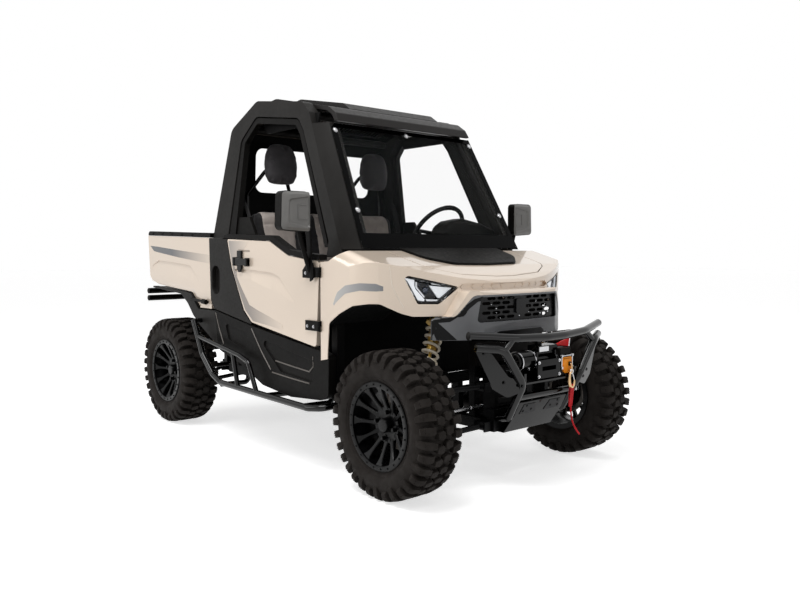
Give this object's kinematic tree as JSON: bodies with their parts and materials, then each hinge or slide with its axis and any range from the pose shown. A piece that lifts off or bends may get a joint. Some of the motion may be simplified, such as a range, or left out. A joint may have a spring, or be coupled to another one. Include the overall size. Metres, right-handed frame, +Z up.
{
  "type": "side by side utv",
  "caption": "Two-seat side-by-side utility vehicle with a hard cab, hinged doors, tipping cargo bed, steered knobbly wheels and a front winch bumper.",
  "frame": {"origin": "on the ground at mid-length and mid-width", "axes": "+X forward, +Y to the driver's left, +Z up"},
  "size_m": [2.9299, 1.7978, 1.9513],
  "materials": {
    "body_paint": "gloss",
    "black_plastic": "satin",
    "black_steel": "satin",
    "seat_cover": "matt",
    "clear_sheet": "gloss",
    "lamp_lens": "gloss",
    "winch_metal": "satin",
    "hook_metal": "satin",
    "strap_webbing": "matt",
    "engine_metal": "matt",
    "exhaust_metal": "satin",
    "driveline_metal": "matt",
    "shock_metal": "satin",
    "spring_paint": "gloss",
    "knuckle_iron": "matt",
    "grip_rubber": "matt",
    "rim_metal": "satin",
    "tyre_rubber": "matt"
  },
  "bodies": {
    "chassis": {"front_fenders": "body_paint", "nose_panel": "body_paint", "cage": "black_plastic", "roof": "black_plastic", "pillar_covers": "black_plastic", "rocker_panels": "black_plastic", "rear_fenders": "black_plastic", "front_fascia": "black_plastic", "grille": "black_plastic", "inner_fenders": "black_plastic", "dashboard": "black_plastic", "rear_panel": "black_plastic", "cab_floor": "black_plastic", "frame": "black_steel", "frame_towers": "black_steel", "hinge_posts": "black_steel", "front_bumper": "black_steel", "rear_bumper": "black_steel", "step_bars": "black_steel", "headrest_loops": "black_steel", "control_arms": "black_steel", "skid_plate": "black_steel", "hitch_receiver": "black_steel", "rack_housing": "black_steel", "seat_cushions": "seat_cover", "seat_backs": "seat_cover", "headrests": "seat_cover", "windshield": "clear_sheet", "headlamps": "lamp_lens", "winch": "winch_metal", "winch_hook": "hook_metal", "hook_strap": "strap_webbing", "engine": "engine_metal", "exhaust": "exhaust_metal", "radiator": "winch_metal", "drivetrain": "driveline_metal", "shocks": "shock_metal", "springs": "spring_paint", "rear_knuckles": "knuckle_iron"},
    "wheel_front_right": {"rim_front_right": "rim_metal", "tyre_front_right": "tyre_rubber"},
    "wheel_front_left": {"rim_front_left": "rim_metal", "tyre_front_left": "tyre_rubber"},
    "wheel_rear_right": {"rim_rear_right": "rim_metal", "tyre_rear_right": "tyre_rubber"},
    "wheel_rear_left": {"rim_rear_left": "rim_metal", "tyre_rear_left": "tyre_rubber"},
    "knuckle_left_body": {"knuckle_left": "knuckle_iron"},
    "knuckle_right_body": {"knuckle_right": "knuckle_iron"},
    "rack": {"steering_rack": "black_steel"},
    "steering": {"steering_wheel": "grip_rubber"},
    "left_door": {"door_left": "body_paint", "door_trim_left": "black_plastic"},
    "right_door": {"door_right": "body_paint", "door_trim_right": "black_plastic"},
    "hood_lid": {"hood": "body_paint", "hood_insert": "black_plastic"},
    "cargo_bed": {"bed": "body_paint", "bed_rails": "black_plastic"},
    "tail_gate": {"tailgate": "black_plastic"}
  },
  "joints": [
    {"name": "front_right_wheel_spin", "type": "hinge", "parent": "knuckle_right_body", "child": "wheel_front_right", "pos_m": [1.046, -0.63, 0.33], "axis": [0, 1, 0], "continuous": true},
    {"name": "front_left_wheel_spin", "type": "hinge", "parent": "knuckle_left_body", "child": "wheel_front_left", "pos_m": [1.046, 0.63, 0.33], "axis": [0, 1, 0], "continuous": true},
    {"name": "rear_right_wheel_spin", "type": "hinge", "parent": "chassis", "child": "wheel_rear_right", "pos_m": [-1.077, -0.63, 0.33], "axis": [0, 1, 0], "continuous": true},
    {"name": "rear_left_wheel_spin", "type": "hinge", "parent": "chassis", "child": "wheel_rear_left", "pos_m": [-1.077, 0.63, 0.33], "axis": [0, 1, 0], "continuous": true},
    {"name": "steer_left", "type": "hinge", "parent": "chassis", "child": "knuckle_left_body", "pos_m": [1.046, 0.575, 0.33], "axis": [0, 0, 1], "range_deg": [-28, 28]},
    {"name": "steer_right", "type": "hinge", "parent": "chassis", "child": "knuckle_right_body", "pos_m": [1.046, -0.575, 0.33], "axis": [0, 0, 1], "range_deg": [-28, 28]},
    {"name": "rack_slide", "type": "slide", "parent": "chassis", "child": "rack", "axis": [0, 1, 0], "range_m": [-0.056, 0.056]},
    {"name": "steering_wheel_turn", "type": "hinge", "parent": "chassis", "child": "steering", "pos_m": [0.301, 0.35, 1.195], "axis": [-0.8192, 0, 0.5736], "range_deg": [-255, 255]},
    {"name": "left_door_hinge", "type": "hinge", "parent": "chassis", "child": "left_door", "pos_m": [0.584, 0.708, 0.9], "axis": [0, 0, -1], "range_deg": [0, 75]},
    {"name": "right_door_hinge", "type": "hinge", "parent": "chassis", "child": "right_door", "pos_m": [0.584, -0.708, 0.9], "axis": [0, 0, 1], "range_deg": [0, 75]},
    {"name": "hood_hinge", "type": "hinge", "parent": "chassis", "child": "hood_lid", "pos_m": [0.77, 0, 1.078], "axis": [0, -1, 0], "range_deg": [0, 55]},
    {"name": "bed_tilt", "type": "hinge", "parent": "chassis", "child": "cargo_bed", "pos_m": [-1.377, 0, 0.87], "axis": [0, -1, 0], "range_deg": [0, 35]},
    {"name": "tailgate_hinge", "type": "hinge", "parent": "cargo_bed", "child": "tail_gate", "pos_m": [-1.394, 0, 0.925], "axis": [0, -1, 0], "range_deg": [0, 90]}
  ],
  "couplings": [
    {"joint": "steer_right", "follows": "steer_left", "ratio": 1},
    {"joint": "rack_slide", "follows": "steer_left", "m_per_rad": 0.112},
    {"joint": "steering_wheel_turn", "follows": "steer_left", "ratio": 9}
  ]
}
